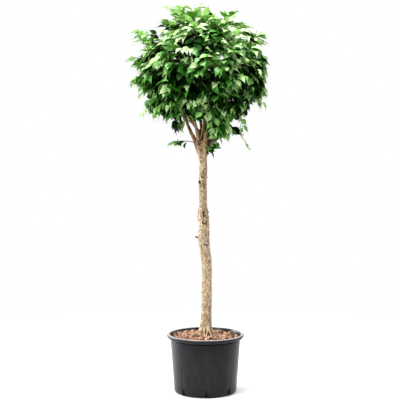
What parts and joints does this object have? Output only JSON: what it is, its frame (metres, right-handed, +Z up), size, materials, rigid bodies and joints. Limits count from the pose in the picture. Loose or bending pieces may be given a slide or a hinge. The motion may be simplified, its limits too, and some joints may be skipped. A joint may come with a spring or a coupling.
{
  "type": "potted standard weeping fig",
  "caption": "Evergreen indoor tree grown as a standard: bare trunk, ring of boughs and dense domed crown of hanging leaves, in a round pot of bark chips.",
  "frame": {"origin": "middle of the pot's flat underside", "axes": "+Z up along the trunk, -Y towards the front"},
  "size_m": [0.7592, 0.7208, 2.0358],
  "materials": {
    "pot_plastic": "moulded black polypropylene, satin, with faint drawn streaks",
    "bark_chips": "loose reddish-brown bark chips",
    "bark": "pale grey-tan fig bark with knots and fine scars",
    "foliage": "glossy evergreen leaves from dark to fresh green"
  },
  "bodies": {
    "root": {"pot": "pot_plastic", "bark_chip_fill": "bark_chips", "trunk": "bark", "bough_right": "bark", "bough_right_back": "bark", "bough_back": "bark", "bough_left_back": "bark", "bough_left": "bark", "bough_front_left": "bark", "bough_front_right": "bark", "bough_leader": "bark", "foliage_right": "foliage", "foliage_right_back": "foliage", "foliage_back": "foliage", "foliage_left_back": "foliage", "foliage_left": "foliage", "foliage_front_left": "foliage", "foliage_front_right": "foliage", "foliage_leader": "foliage", "sprig_low_left": "foliage", "sprig_low_right": "foliage"}
  },
  "joints": []
}
